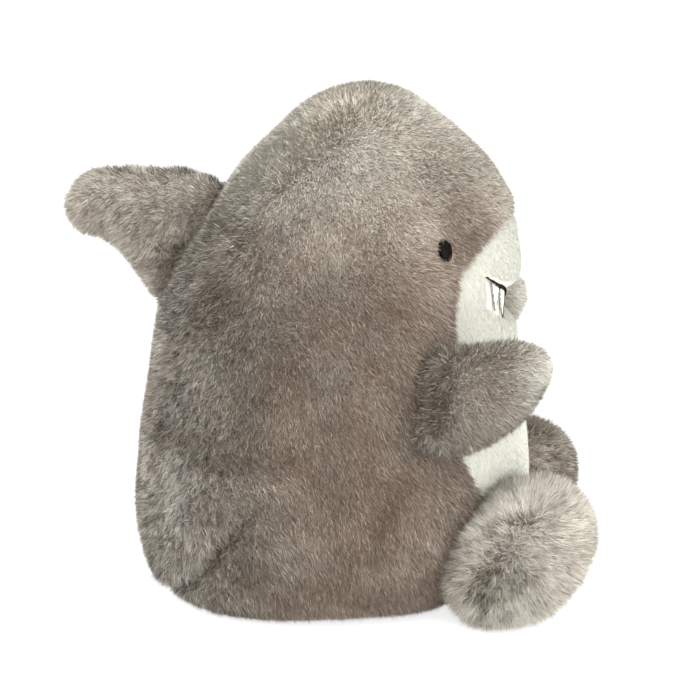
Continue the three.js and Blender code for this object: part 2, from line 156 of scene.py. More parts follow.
def unit(v):
    return v / np.maximum(np.linalg.norm(v, axis=-1, keepdims=True), 1e-9)


def catmull(stations, s):
    """Smooth interpolation through rows of numbers, at station numbers s, whole or part."""
    p = np.asarray(stations, float)
    p = np.vstack([2 * p[0] - p[1], p, 2 * p[-1] - p[-2]])
    i = np.clip(np.floor(s).astype(int), 0, len(p) - 4)
    t = (s - i)[..., None]
    a, b, c, d = p[i], p[i + 1], p[i + 2], p[i + 3]
    return 0.5 * (2 * b + (c - a) * t + (2 * a - 5 * b + 4 * c - d) * t**2 + (3 * b - a - 3 * c + d) * t**3)


def noise(points, scale, seed):
    """Smooth random values, mostly from -1 to 1, that change over about scale millimetres."""
    table = np.random.default_rng(seed).uniform(-1.4, 1.4, 4096)
    q = points / scale
    cell = np.floor(q).astype(np.int64)
    f = q - cell
    f = f * f * (3 - 2 * f)
    total = 0
    for dx in (0, 1):
        for dy in (0, 1):
            for dz in (0, 1):
                h = (cell[:, 0] + dx) * 73856093 ^ (cell[:, 1] + dy) * 19349663 ^ (cell[:, 2] + dz) * 83492791
                weight = (
                    (f[:, 0] if dx else 1 - f[:, 0])
                    * (f[:, 1] if dy else 1 - f[:, 1])
                    * (f[:, 2] if dz else 1 - f[:, 2])
                )
                total = total + table[h & 4095] * weight
    return total


def bump(points, centre, reach):
    """1 at a centre, fading to 0 over reach, which may differ along x, y and z."""
    d = (points - np.asarray(centre, float)) / np.asarray(reach, float)
    return np.exp(-(d**2).sum(-1))


def on_polyline(points, line):
    """Distance from 2-D points to an open line of 2-D points."""
    best = np.full(len(points), 1e9)
    for a, b in zip(line[:-1], line[1:]):
        d = b - a
        t = np.clip(((points - a) @ d) / (d @ d), 0, 1)
        best = np.minimum(best, np.linalg.norm(points - a - t[:, None] * d, axis=1))
    return best


# ---- Lofted forms --------------------------------------------------------------------------


class Form:
    """A stuffed shape lofted through its stations, in its own frame of three directions."""

    def __init__(self, stations, origin, along, across, through, squareness=2.0):
        self.stations = stations
        self.origin = np.asarray(origin, float)
        self.axes = np.array([along, across, through], float)
        self.squareness = squareness

    def points(self, s, angle):
        """Points at station numbers s and angles from the low edge round by the thick side."""
        along, low, high, half = np.moveaxis(catmull(self.stations, s), -1, 0)
        bend = lambda v: np.sign(v) * np.abs(v) ** (2 / self.squareness)
        across = (low + high) / 2 - (high - low) / 2 * bend(np.cos(angle))
        through = half * bend(np.sin(angle))
        local = np.stack([along, across, through], -1)
        return self.origin + local @ self.axes

    def skin(self, rows, sides):
        """(vertices, faces) of a closed skin: rings with a pole at the first and the last station."""
        last = len(self.stations) - 1
        s = np.linspace(0, last, rows + 1)[:-1]
        angle = np.arange(sides) * 2 * math.pi / sides
        grid = self.points(np.repeat(s, sides), np.tile(angle, rows)).reshape(rows, sides, 3)
        first = grid[0].mean(0)
        tip = self.points(np.array([float(last)]), np.array([0.0]))[0]
        verts = np.vstack([grid.reshape(-1, 3), first, tip])
        faces = []
        for i in range(rows - 1):
            for j in range(sides):
                k = (j + 1) % sides
                faces.append((i * sides + j, i * sides + k, (i + 1) * sides + k, (i + 1) * sides + j))
        low, high = rows * sides, rows * sides + 1
        top = (rows - 1) * sides
        for j in range(sides):
            k = (j + 1) % sides
            faces.append((low, k, j))
            faces.append((top + j, top + k, high))
        return verts, faces


def triangles_of(faces):
    out = []
    for f in faces:
        out.append((f[0], f[1], f[2]))
        if len(f) == 4:
            out.append((f[0], f[2], f[3]))
    return np.array(out)


def normals_of(verts, tris):
    n = np.zeros_like(verts)
    a, b, c = (verts[tris[:, i]] for i in range(3))
    face = np.cross(b - a, c - a)
    for i in range(3):
        np.add.at(n, tris[:, i], face)
    return unit(n)


def outward(verts, faces):
    """The faces, turned over if they point inwards."""
    t = triangles_of(faces)
    a, b, c = (verts[t[:, i]] for i in range(3))
    volume = np.einsum("ij,ij->i", a, np.cross(b, c)).sum()
    return faces if volume > 0 else [f[::-1] for f in faces]


def displaced(verts, faces, amount):
    """The vertices moved out along their normals by amount(vertices, normals)."""
    n = normals_of(verts, triangles_of(faces))
    return verts + n * amount(verts, n)[:, None]


# ---- Making objects ------------------------------------------------------------------------


def make_mesh(name, verts, faces, materials, face_material=None, smooth=True):
    """An object from vertices in millimetres. Unused vertices are dropped."""
    used = sorted({i for f in faces for i in f})
    index = {old: new for new, old in enumerate(used)}
    mesh = bpy.data.meshes.new(name)
    mesh.from_pydata((verts[used] * MM).tolist(), [], [[index[i] for i in f] for f in faces])
    for material in materials:
        mesh.materials.append(material)
    if face_material is not None:
        mesh.polygons.foreach_set("material_index", face_material)
    mesh.polygons.foreach_set("use_smooth", [smooth] * len(mesh.polygons))
    mesh.update()
    obj = bpy.data.objects.new(name, mesh)
    bpy.context.scene.collection.objects.link(obj)
    return obj


def principled(name, colour, roughness, **extra):
    material = bpy.data.materials.new(name)
    material.use_nodes = True
    shader = material.node_tree.nodes["Principled BSDF"]
    shader.inputs["Base Color"].default_value = (*colour, 1)
    shader.inputs["Roughness"].default_value = roughness
    for key, value in extra.items():
        shader.inputs[key.replace("_", " ")].default_value = value
    material.diffuse_color = (*colour, 1)
    return material, material.node_tree, shader


def srgb(r, g, b):
    """Linear colour from 0 to 255 display values."""
    return tuple(((v / 255 + 0.055) / 1.055) ** 2.4 if v > 10 else v / 255 / 12.92 for v in (r, g, b))


SHADE_LEVELS = (78, 100, 122, 144, 166, 188, 208, 226)  # of display green, from dark to light
COOL_GREYS = [srgb(8 + 0.97 * v, v, v - 10) for v in SHADE_LEVELS]
WARM_GREYS = [srgb(24 + 0.92 * v, v, v - 14) for v in SHADE_LEVELS]
CREAM_SHADES = [srgb(v, v, v - 11) for v in (203, 210, 217, 224, 231)]


def shades(name, colours):
    return [
        principled(f"{name}_{i}", c, 0.78, Sheen_Weight=0.15, Sheen_Roughness=0.5, Specular_IOR_Level=0.25)[0]
        for i, c in enumerate(colours)
    ]


def backing(name, colour):
    """Knitted backing cloth: rows of small loops, with darker mottles."""
    material, tree, shader = principled(name, colour, 0.95)
    nodes, links = tree.nodes, tree.links
    place = nodes.new("ShaderNodeTexCoord")
    knit = nodes.new("ShaderNodeTexWave")
    knit.inputs["Scale"].default_value = 900
    knit.inputs["Distortion"].default_value = 1.5
    mottle = nodes.new("ShaderNodeTexNoise")
    mottle.inputs["Scale"].default_value = 220
    mix = nodes.new("ShaderNodeMix")
    mix.data_type = "RGBA"
    mix.inputs["A"].default_value = (*[c * 0.7 for c in colour], 1)
    mix.inputs["B"].default_value = (*colour, 1)
    bumps = nodes.new("ShaderNodeBump")
    bumps.inputs["Strength"].default_value = 0.4
    bumps.inputs["Distance"].default_value = 0.0003
    links.new(place.outputs["Object"], knit.inputs["Vector"])
    links.new(place.outputs["Object"], mottle.inputs["Vector"])
    links.new(mottle.outputs["Fac"], mix.inputs["Factor"])
    links.new(mix.outputs["Result"], shader.inputs["Base Color"])
    links.new(knit.outputs["Fac"], bumps.inputs["Height"])
    links.new(bumps.outputs["Normal"], shader.inputs["Normal"])
    return material


GREY = shades("grey_plush_cool", COOL_GREYS) + shades("grey_plush_warm", WARM_GREYS)
CREAM = shades("cream_plush", CREAM_SHADES)
GREY_CLOTH = backing("grey_plush_backing", srgb(150, 138, 126))
CREAM_CLOTH = backing("cream_plush_backing", srgb(216, 216, 205))


def speckled(name, colour, roughness, scale, contrast=0.8, bump_mm=0.05, **extra):
    """A material whose colour, roughness and relief vary with fine noise."""
    material, tree, shader = principled(name, colour, roughness, **extra)
    nodes, links = tree.nodes, tree.links
    place = nodes.new("ShaderNodeTexCoord")
    grain = nodes.new("ShaderNodeTexNoise")
    grain.inputs["Scale"].default_value = scale
    grain.inputs["Detail"].default_value = 4
    mix = nodes.new("ShaderNodeMix")
    mix.data_type = "RGBA"
    mix.inputs["A"].default_value = (*[c * contrast for c in colour], 1)
    mix.inputs["B"].default_value = (*colour, 1)
    relief = nodes.new("ShaderNodeBump")
    relief.inputs["Distance"].default_value = bump_mm * MM
    links.new(place.outputs["Object"], grain.inputs["Vector"])
    links.new(grain.outputs["Fac"], mix.inputs["Factor"])
    links.new(mix.outputs["Result"], shader.inputs["Base Color"])
    links.new(grain.outputs["Fac"], relief.inputs["Height"])
    links.new(relief.outputs["Normal"], shader.inputs["Normal"])
    return material


STUFFING = speckled("polyester_stuffing", srgb(240, 240, 236), 0.95, 900, bump_mm=0.4)
POUCH_CLOTH = speckled("pouch_cloth", srgb(232, 230, 224), 0.9, 2500)
PELLETS = speckled("pellets", srgb(236, 232, 220), 0.45, 600)
EYE_PLASTIC = speckled("black_plastic", srgb(9, 8, 7), 0.4, 700, bump_mm=0.01, Specular_IOR_Level=0.06)
NYLON = speckled("nylon", srgb(225, 225, 222), 0.5, 500)
BLACK_THREAD = speckled("black_thread", srgb(14, 13, 13), 0.6, 3000, contrast=0.6, Specular_IOR_Level=0.15)
WHITE_THREAD = speckled("white_thread", srgb(226, 227, 222), 0.7, 3000, contrast=0.92, Specular_IOR_Level=0.2)

# ---- Pile ----------------------------------------------------------------------------------

MAX_PILE_FACES = 190000  # in one object
FLOOR_GAP = 0.05  # between the lowest strands and the ground
FACING_SHARE = 0.4  # how far a strand's own face turns its shading from the skin's
STRAY = 0.2  # how far single strands stray from their neighbours' way
FACING_TURN = 0.7  # how far a blade turns about its length
SHADING_STRAY = 0.12
LOOSE_SHARE = 0.05  # of the strands in long pile, which stand up out of it and are longer
LONG_PILE = 1.5  # millimetres
SUNK = 0.35  # millimetres of each strand, below the cloth
LEAN_SPREAD = 8  # degrees
LEAST_RISE = 0.16  # of each strand's way, along the normal, so that none dives into the skin


def down(points, normals):
    return np.tile([0.0, 0.0, -1.0], (len(points), 1))


def scattered(verts, tris, density, rng):
    """Roots spread evenly over a skin, so many to a square millimetre, and the normals there."""
    normals = normals_of(verts, tris)
    a, b, c = (verts[tris[:, i]] for i in range(3))
    area = np.linalg.norm(np.cross(b - a, c - a), axis=1) / 2
    count = int(area.sum() * density)
    pick = rng.choice(len(tris), count, p=area / area.sum())
    u, v = rng.random(count), rng.random(count)
    flip = u + v > 1
    u, v = np.where(flip, 1 - u, u)[:, None], np.where(flip, 1 - v, v)[:, None]
    t = tris[pick]
    root = verts[t[:, 0]] * (1 - u - v) + verts[t[:, 1]] * u + verts[t[:, 2]] * v
    normal = unit(normals[t[:, 0]] * (1 - u - v) + normals[t[:, 1]] * u + normals[t[:, 2]] * v)
    return root, normal


def make_blades(name, points, shading, material_index, palette):
    """An object of separate triangles, each with its own shading normal and material."""
    n = len(points)
    mesh = bpy.data.meshes.new(name)
    mesh.vertices.add(n * 3)
    mesh.vertices.foreach_set("co", (points * MM).astype(np.float32).ravel())
    mesh.loops.add(n * 3)
    mesh.loops.foreach_set("vertex_index", np.arange(n * 3, dtype=np.int32))
    mesh.polygons.add(n)
    mesh.polygons.foreach_set("loop_start", np.arange(0, n * 3, 3, dtype=np.int32))
    mesh.polygons.foreach_set("material_index", material_index.astype(np.int32))
    mesh.polygons.foreach_set("use_smooth", np.ones(n, bool))
    for material in palette:
        mesh.materials.append(material)
    mesh.update(calc_edges=True)
    mesh.normals_split_custom_set_from_vertices(np.repeat(shading, 3, axis=0))
    obj = bpy.data.objects.new(name, mesh)
    bpy.context.scene.collection.objects.link(obj)
    return obj


def grow(name, slot, verts, tris, seed, *, density, length, width, lean, nap, shade, palette,
         warmth=0.5, hues=2, clump=0.5, clump_size=1.3, jitter=0.8, relief=1.0, keep=None):
    """Strands of pile rooted on a skin, each a thin blade that tapers to its tip.

    lean is in degrees from the skin's normal towards the nap, and less where the nap is shorter than
    1. length, lean, shade, warmth and clump are numbers or functions of (points, normals). shade
    counts up the palette from its darkest material, and warmth is the share of strands that take
    their material from its second half. relief is how far strands are shaded apart. keep(points)
    says which roots to leave in. Returns the pile's objects, split so that none has too many faces.
    """
    rng = np.random.default_rng(seed)
    root, normal = scattered(verts, tris, density, rng)
    if keep is not None:
        stay = keep(root)
        root, normal = root[stay], normal[stay]
    count = len(root)
    value = lambda x: x(root, normal) if callable(x) else np.full(count, float(x))

    flow = nap(root, normal)
    flow = flow - normal * (flow * normal).sum(1, keepdims=True)
    laid = np.clip(np.linalg.norm(flow, axis=1), 0, 1)
    flow = unit(flow)
    loose = (rng.random(count) < LOOSE_SHARE) & (value(length) > LONG_PILE)
    angle = np.radians(value(lean) * laid * (1 - 0.4 * loose) + rng.normal(0, LEAN_SPREAD, count))
    swirl = np.stack([noise(root, clump_size, seed + k) for k in (1, 2, 3)], 1)
    way = normal * np.cos(angle)[:, None] + flow * np.sin(angle)[:, None]
    way = unit(way + swirl * value(clump)[:, None] * 0.5 + rng.normal(0, STRAY, (count, 3)))
    rise = (way * normal).sum(1)
    way = unit(way + normal * np.maximum(LEAST_RISE - rise, 0)[:, None])
    reach = value(length) * rng.uniform(0.7, 1.1, count) * (1 + 0.4 * loose)

    tint = value(shade) + rng.normal(0, jitter, count)
    levels = len(palette) // hues
    tint = np.clip(np.round(tint), 0, levels - 1).astype(int)
    if hues > 1:
        tint += levels * (rng.random(count) < value(warmth))

    facing = unit(normal - way * (way * normal).sum(1, keepdims=True))
    facing = unit(facing + np.cross(way, facing) * rng.normal(0, FACING_TURN, count)[:, None])
    across = np.cross(way, facing) * width / 2
    own = facing * FACING_SHARE + rng.normal(0, SHADING_STRAY, (count, 3))
    shading = unit(normal + own * relief)
    low = root - way * SUNK
    points = np.stack([low - across, low + across, root + way * reach[:, None]], 1)
    points[:, :, 2] = np.maximum(points[:, :, 2], FLOOR_GAP)

    order = np.argsort(root[:, 2], kind="stable")
    pieces = max(1, math.ceil(count / MAX_PILE_FACES))
    made = []
    for part, chosen in enumerate(np.array_split(order, pieces)):
        label = name if pieces == 1 else f"{name}_{part + 1}"
        made.append(make_blades(label, points[chosen], shading[chosen], tint[chosen], palette))
    return made


# ---- Torso ---------------------------------------------------------------------------------

face_line = catmull(FACE_OUTLINE, np.linspace(0, len(FACE_OUTLINE) - 1, 40))
seat_line = catmull(SEAT_SEAM, np.linspace(0, len(SEAT_SEAM) - 1, 60))


def step(v, low, high):
    """0 below low, 1 above high, and a smooth rise between, for either order of the two."""
    t = np.clip((v - low) / (high - low), 0, 1)
    return t * t * (3 - 2 * t)


def face_distance(points):
    """Signed distance to the face panel's seam in front view, below 0 inside the panel."""
    flat = np.stack([np.abs(points[:, 0]), points[:, 2]], 1)
    distance = on_polyline(flat, face_line)
    edge = np.interp(flat[:, 1], face_line[::-1, 1], face_line[::-1, 0])
    inside = (flat[:, 0] < edge) & (flat[:, 1] < face_line[0, 1]) & (points[:, 1] < 0)
    return np.where(inside, -distance, np.where(points[:, 1] < 0, distance, 99))


def seat_distance(points):
    """Signed distance to the seat panel's seam in side view, below 0 inside the panel."""
    height = np.interp(points[:, 1], seat_line[:, 0], seat_line[:, 1])
    slope = np.interp(points[:, 1], seat_line[:, 0], np.gradient(seat_line[:, 1], seat_line[:, 0]))
    return (points[:, 2] - height) / np.sqrt(1 + slope**2)


def rear_seam(points, above, reach):
    """1 along a line above the seat's seam behind the thighs, fading over reach."""
    return np.exp(-(((seat_distance(points) - above) / reach) ** 2)) * step(points[:, 1], 10, 26)


def lip_height(x):
    return MOUTH_HEIGHT + MOUTH_LIFT * (x / MOUTH_HALF_WIDTH) ** 4


def over_lip(points):
    """Height above the line of the mouth."""
    return points[:, 2] - lip_height(points[:, 0])


def thigh_crease(points):
    """1 along the soft crease in front of each thigh."""
    flat = points[:, 1:] - np.array([-17.0, 37.0])
    along, off = flat @ np.array([0.54, -0.84]), flat @ np.array([0.84, 0.54])
    return np.exp(-((off / 3.0) ** 2)) * np.exp(-(((along - 8) / 9) ** 2)) * (np.abs(points[:, 0]) > 20)


def torso_shape(points, normals):
    """How far the cloth stands out from the plain loft, in millimetres."""
    lumps = 0.55 * noise(points, 19, 11) + 0.25 * noise(points, 8, 12)
    seams = 0.9 * np.exp(-((face_distance(points) / 1.6) ** 2))
    seams += np.exp(-((seat_distance(points) / 1.6) ** 2)) * (0.1 + 1.5 * step(points[:, 1], 8, 26))
    pockets = 0
    for side in (-1, 1):
        pocket = np.array(EYE_PLACE) * (-side, 1, 1) - (0, 0.8, 0)
        pockets += 2.4 * bump(points, pocket, (4.2, 4.6, 5.2))
    rise = over_lip(points)
    across = np.clip(1 - (points[:, 0] / FOLD_HALF_WIDTH) ** 2, 0, 1) ** 0.7 * (points[:, 1] < -20)
    fold = FOLD_DEPTH * across * step(rise, 0.5, -1.1) * step(rise, -11.5, -6.5)
    snout = 0.6 * bump(points, (0, -44, 82), (18, 9, 4))
    return lumps - seams - pockets - 1.3 * thigh_crease(points) - fold + snout


torso_form = Form(TORSO, (0, 0, 0), (0, 0, 1), (0, 1, 0), (-1, 0, 0), TORSO_SQUARENESS)
torso_verts, torso_faces = torso_form.skin(170, 150)
torso_faces = outward(torso_verts, torso_faces)
torso_verts = displaced(torso_verts, torso_faces, torso_shape)
torso_tree = BVHTree.FromPolygons(torso_verts.tolist(), [list(f) for f in torso_faces])


def on_torso(start, way):
    """The point and normal, as arrays, where a line from outside first meets the torso's cloth."""
    place, normal, _, _ = torso_tree.ray_cast(Vector(start), Vector(way).normalized())
    return np.array(place), np.array(normal)


def panels_at(points):
    """Which points lie in each panel."""
    seat = seat_distance(points) < 0
    face = (face_distance(points) < 0) & ~seat
    right = (points[:, 0] < 0) & ~seat & ~face
    return {
        "seat_panel": seat,
        "face_belly_panel": face,
        "side_panel_right": right,
        "side_panel_left": ~(seat | face | right),
    }


joints = {j["name"]: j for j in frame["joints"]}


def seam_of(joint):
    """A limb seam's middle and direction, in millimetres."""
    return np.array(joints[joint]["pos_m"], float) / MM, unit(np.array(joints[joint]["axis"], float))


# Seams beside which painted shade darkens the pile: joint, half length and slant.
SEAMS_WITH_PAINTED_SHADE = [
    ("fin_sway", 16, 0),
    ("right_flipper_swing", 11, ROOT_SLANT),
    ("left_flipper_swing", 11, ROOT_SLANT),
]


def near_seams(points, reach):
    """1 at the seams of the fin and the flippers, fading over reach."""
    total = np.zeros(len(points))
    for joint, half, slant in SEAMS_WITH_PAINTED_SHADE:
        origin, way = seam_of(joint)
        way = unit(way * np.sign(way[2]) - np.array([0, slant, 0]))
        along = np.clip((points - origin) @ way, -half, half)
        distance = np.linalg.norm(points - origin - along[:, None] * way, axis=1)
        total = np.maximum(total, np.exp(-((distance / reach) ** 2)))
    return total


def eye_offset(points):
    """From the nearer eye's place to the points, as if both were on the right."""
    return points * np.where(points[:, :1] > 0, (-1, 1, 1), 1) - EYE_PLACE


# Patches on the right side, mirrored on the left, where the pile is darker or paler, mostly as crushed or
# brushed-up pile; the dark patch in front of each eye is painted shadow in the eye's pocket. Columns: centre,
# reach along y, reach along z, and how much lighter.
PATCHES = [
    # painted shadow in the pocket in front of the eye
    ((-26, -31, 93.5), 7, 9, -2.3),
    ((-31, -25, 79), 3.5, 5, 1.3),
    ((-16, 13, 109), 12, 8, 1.5),
    ((-16, 23, 103), 6, 7, 0.9),
    ((-8, -35, 110), 5, 6, 0.9),
    ((-30, 6, 96), 9, 8, -0.9),
    ((-26, 27, 82), 7, 8, -1.5),
    ((-40, -3, 52), 9, 13, -0.7),
    ((-36, 12, 60), 9, 14, -0.4),
    ((-20, 42, 25), 9, 18, 1.5),
    ((-32, 29, 28), 6, 9, 0.7),
    ((-41, 5, 30), 11, 6, 0.6),
    ((-40, -8, 13), 18, 7, -0.6),
]
PATCH_DEPTH = 14  # how far a patch reaches along x


def torso_shade(points, normals):
    """Dark on the flanks, paler down the back and up the head, and palest at the crown, where light from
    above is painted in.
    Painted shade darkens the pile at the seams of the fin and the flippers, just under the seat's seam behind
    the thighs, and along the thigh creases.
    """
    high = step(points[:, 2], 72, 104)
    crown = step(points[:, 2], 104, 124)
    back = step(points[:, 1], 17, 40)
    # the crown term is a painted highlight, for light from above, on top of the head's paler pile
    shade = 1.2 + 2.9 * high + 1.3 * crown + 1.3 * back * (1 - 0.8 * high)
    shade += 0.7 * noise(points * (1, 1, 1.4), 10, 21) * (1 - 0.75 * high) + 0.3 * noise(points, 4, 22)
    # the rear_seam term is a painted shadow just under the seat's seam, where the back's pile hangs over it
    shade += 1.1 * back * noise(points, 0.9, 24) - 1.0 * rear_seam(points, -0.6, 1.6)
    folded = np.stack([-np.abs(points[:, 0]), points[:, 1], points[:, 2]], 1)
    for centre, along_y, along_z, lighter in PATCHES:
        shade += lighter * bump(folded, centre, (PATCH_DEPTH, along_y, along_z))
    # painted shade in the creases at the fin's and the flippers' seams, and along the thigh creases
    return shade - 1.6 * near_seams(points, 2.0) - 1.1 * thigh_crease(points)


def torso_warmth(points, normals):
    """Brown on the flanks, grey down the back and over the head."""
    back = step(points[:, 1], 0, 32)
    return 1.0 - 0.7 * back - 0.45 * step(points[:, 2], 84, 108) + 0.3 * noise(points, 9, 23)


def torso_lean(points, normals):
    return 50 + 6 * noise(points, 10, 31)


def torso_length(points, normals):
    behind_eye = bump(eye_offset(points), (0, 2.6, 0), (6, 1.6, 3.5))
    return 2.2 - 0.45 * step(points[:, 2], 78, 98) + 0.9 * behind_eye + 0.7 * rear_seam(points, 2, 2.5)


def torso_nap(points, normals):
    """Down and a little forwards, swept forwards low on the back, and over the rear edge of the eyes."""
    low_back = (step(points[:, 1], -5, 30) * step(points[:, 2], 80, 25))[:, None]
    way = np.array([0, -0.45, -1.0]) * (1 - 0.5 * low_back) + np.array([0, -1.1, 0]) * low_back
    turn = np.stack([noise(points, 12, s) for s in (41, 42, 43)], 1)
    past_eye = bump(eye_offset(points), (0, 3.0, 0.5), (6, 2.6, 3.5))[:, None]
    return way + 0.35 * turn + past_eye * np.array([0, -3.0, 0])


def torso_clump(points, normals):
    """More tufted low on the back."""
    return 0.35 + 0.35 * step(points[:, 1], 0, 32) * step(points[:, 2], 95, 55)


def clear_of_face(points):
    """Keeps pile off the front of the eyes and off the stitches of the mouth."""
    off = eye_offset(points)
    slant = off[:, 1] + 0.5 - 0.3 * off[:, 2]
    eye = (slant / 1.3) ** 2 + (off[:, 2] / 2.8) ** 2 < 1
    front = (points[:, 1] < -20) & (np.abs(points[:, 0]) < MOUTH_HALF_WIDTH)
    rise = over_lip(points)
    return ~eye & ~(front & (rise > -TOOTH_HEIGHT - 0.6) & (rise < 1.5))


def belly_shade(points, normals):
    """Paler down the belly: painted light that evens out the shade the feet cast there."""
    return 0.6 + 1.8 * step(points[:, 2], 66, 50) + 1.7 * step(points[:, 2], 52, 34)


GREY_DENSITY = 27  # strands to a square millimetre
GREY_WIDTH = 0.17
PILE = {
    "cream_plush": dict(density=38, length=0.85, width=0.14, lean=70, nap=down, shade=belly_shade,
                        palette=CREAM, hues=1, clump=0.05, jitter=0.3, relief=0.08),
    "grey_plush": dict(density=GREY_DENSITY, length=torso_length, width=GREY_WIDTH, lean=torso_lean,
                       nap=torso_nap, shade=torso_shade, warmth=torso_warmth, palette=GREY,
                       clump=torso_clump, jitter=1.6, clump_size=0.9),
}
torso_corners = np.array([[f[0], f[1], f[2], f[-1]] for f in torso_faces])
centres = panels_at(torso_verts[torso_corners].mean(1))
corners = panels_at(torso_verts)
for number, panel in enumerate(centres):
    plush, knit = ("cream_plush", CREAM_CLOTH) if panel == "face_belly_panel" else ("grey_plush", GREY_CLOTH)
    faces = [f for f, inside in zip(torso_faces, centres[panel]) if inside]
    cloth = make_mesh(f"{panel}_cloth", torso_verts, faces, [knit])
    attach(cloth, "torso")
    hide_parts(panel)
    touched = corners[panel][torso_corners].any(1)
    skin = triangles_of([f for f, inside in zip(torso_faces, touched) if inside])
    keep = lambda p: clear_of_face(p) & panels_at(p)[panel]
    for pile in grow(f"{panel}_pile", plush, torso_verts, skin, 100 + 10 * number, keep=keep, **PILE[plush]):
        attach(pile, "torso")

# ---- Limbs ---------------------------------------------------------------------------------


def limb(name, nodes, stuffing, body, form, rows, sides, seed, blend_from, blend_to, tuck=None, **fur):
    """A limb's cloth, pile and stuffing.

    tuck(points) moves the root into the torso's pile.
    """
    verts, faces = form.skin(rows, sides)
    faces = outward(verts, faces)
    if tuck:
        verts = verts + tuck(verts)
    verts = displaced(verts, faces, lambda p, n: 0.4 * noise(p, 7, seed + 5))
    cloth = make_mesh(f"{name}_cloth", verts, faces, [GREY_CLOTH])
    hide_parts(*nodes)
    inner = displaced(verts, faces, lambda p, n: -0.9 + 0.25 * noise(p, 3, seed + 6))
    filling = make_mesh(stuffing, inner, faces, [STUFFING])
    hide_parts(stuffing)
    piles = grow(f"{name}_pile", "grey_plush", verts, triangles_of(faces), seed, density=GREY_DENSITY,
                 width=GREY_WIDTH, palette=GREY, **fur)
    for piece in (cloth, filling, *piles):
        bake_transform(piece)


def wander(points, scale, seed):
    """Smooth random ways."""
    return np.stack([noise(points, scale, seed + k) for k in range(3)], 1)


def flipper(side):
    label = "right" if side > 0 else "left"
    origin, axis = seam_of(f"{label}_flipper_swing")
    seam = axis * -side
    spread = math.radians(FLIPPER_SPREAD)
    out = np.array([-math.sin(spread) * side, -math.cos(spread), 0])
    out = unit(out - seam * (out @ seam))
    form = Form(FLIPPER, origin, out, seam, np.cross(out, seam), 2.2)
    reach = lambda p: (p - origin) @ out
    slanted = lambda p: reach(p) - ROOT_SLANT * ((p - origin) @ seam)
    inward = np.array([side, 0, 0])
    limb(f"flipper_{label}", [f"flipper_outer_{label}", f"flipper_inner_{label}"],
         f"flipper_stuffing_{label}", f"{label}_flipper", form, 36, 48, 300 if side > 0 else 340,
         origin - out * 1.5, origin + out * 4, length=2.2, lean=42,
         tuck=lambda p: 3.8 * step(slanted(p), 8, -2)[:, None] * inward,
         nap=lambda p, n: out - seam * 0.35 + 0.5 * wander(p, 6, 51), clump=0.35, jitter=1.6,
         clump_size=0.9,
         warmth=lambda p, n: 0.6 - 0.4 * step(reach(p), 13, 28),
         shade=lambda p, n: 2.3 + 2.4 * step(reach(p), 16, 29) + 0.6 * step(slanted(p), 7, 0)
         + 0.5 * noise(p, 6, 54))


def fin():
    origin, seam = seam_of("fin_sway")
    out = unit(np.array([0, -seam[2], seam[1]]))
    form = Form(FIN, origin, out, seam, np.cross(out, seam), 2.0)
    reach = lambda p: (p - origin) @ out
    limb("fin", ["fin_panel_right", "fin_panel_left"], "fin_stuffing", "dorsal_fin", form, 40, 48, 380,
         origin - out * 1.5, origin + out * 5, length=2.3, lean=46,
         nap=lambda p, n: out * 0.7 + seam * 0.65 + 0.6 * wander(p, 5, 61), clump=0.5, warmth=0.5,
         jitter=1.6, clump_size=1.0,
         # the fin darkens towards its root: painted shade where it meets the torso
         shade=lambda p, n: 3.2 - 1.3 * step(reach(p), 2.6, -0.5) + 0.5 * noise(p, 5, 64)
         + noise(p, 0.9, 65))


def foot(side):
    label = "right" if side > 0 else "left"
    centre = np.array([FOOT_CENTRE[0] * side, FOOT_CENTRE[1], FOOT_CENTRE[2]])
    turns = np.linspace(0, math.pi, 13)
    long, short, wide = FOOT_RADII
    sine = np.sin(turns)
    stations = np.stack([-long * np.cos(turns), -short * sine, short * sine, wide * sine], 1)
    slope = math.sqrt(0.5)
    form = Form(stations, centre, (0, -slope, slope), (0, slope, slope), (-side, 0, 0), 2.0)
    parting = centre + (-side * 8.0, 2.6, 5.5)
    slant = unit(np.array([0, -0.45, 0.9]))

    def nap(p, n):
        """Away from a slanting parting on the foot's outer side."""
        along = (p - parting) @ slant
        away = p - parting - slant * (9 * np.tanh(along / 9))[:, None]
        return unit(away) * 0.9 + slant * 0.2 + 0.35 * wander(p, 5, 71)

    def outer(p):
        """0 on the side of the foot towards the other one, 1 on its outer side."""
        return step((centre[0] - p[:, 0]) * side, -9, 3)

    def foot_shade(p, n):
        """Pale on top and underneath as painted light, from above and from the floor, dark beside the torso
        as painted shade, and darker on the instep.
        """
        forward, up = centre[1] - p[:, 1], p[:, 2] - centre[2]
        instep = centre + (-side * 8.0, -7.5, 14)
        shade = 3.2 + outer(p) + 0.3 * noise(p, 5, 74) + 0.9 * noise(p, 0.9, 75)
        # painted light: paler on top, lit from above, and underneath, lit from the floor
        shade += (0.4 + 0.9 * outer(p)) * step(up, 4, 14) + 0.8 * step(up, 0, -14)
        # painted shade where the foot sits against the torso
        shade -= 1.6 * step(forward, -8, -15)
        return shade - 1.1 * bump(p, instep, (14, 5.5, 8))

    limb(f"foot_{label}", [f"foot_upper_{label}", f"foot_sole_{label}"], f"foot_stuffing_{label}",
         f"{label}_foot", form, 40, 56, 420 if side > 0 else 460, centre + (0, 12, 0),
         centre + (0, 3, 0), lean=46, nap=nap,
         length=lambda p, n: 2.6 + 0.8 * outer(p), clump=0.5, clump_size=1.2, jitter=1.5,
         warmth=lambda p, n: 0.85 - 0.35 * outer(p),
         shade=foot_shade)


flipper(1)
flipper(-1)
fin()
foot(1)
foot(-1)

# ---- Eyes ----------------------------------------------------------------------------------


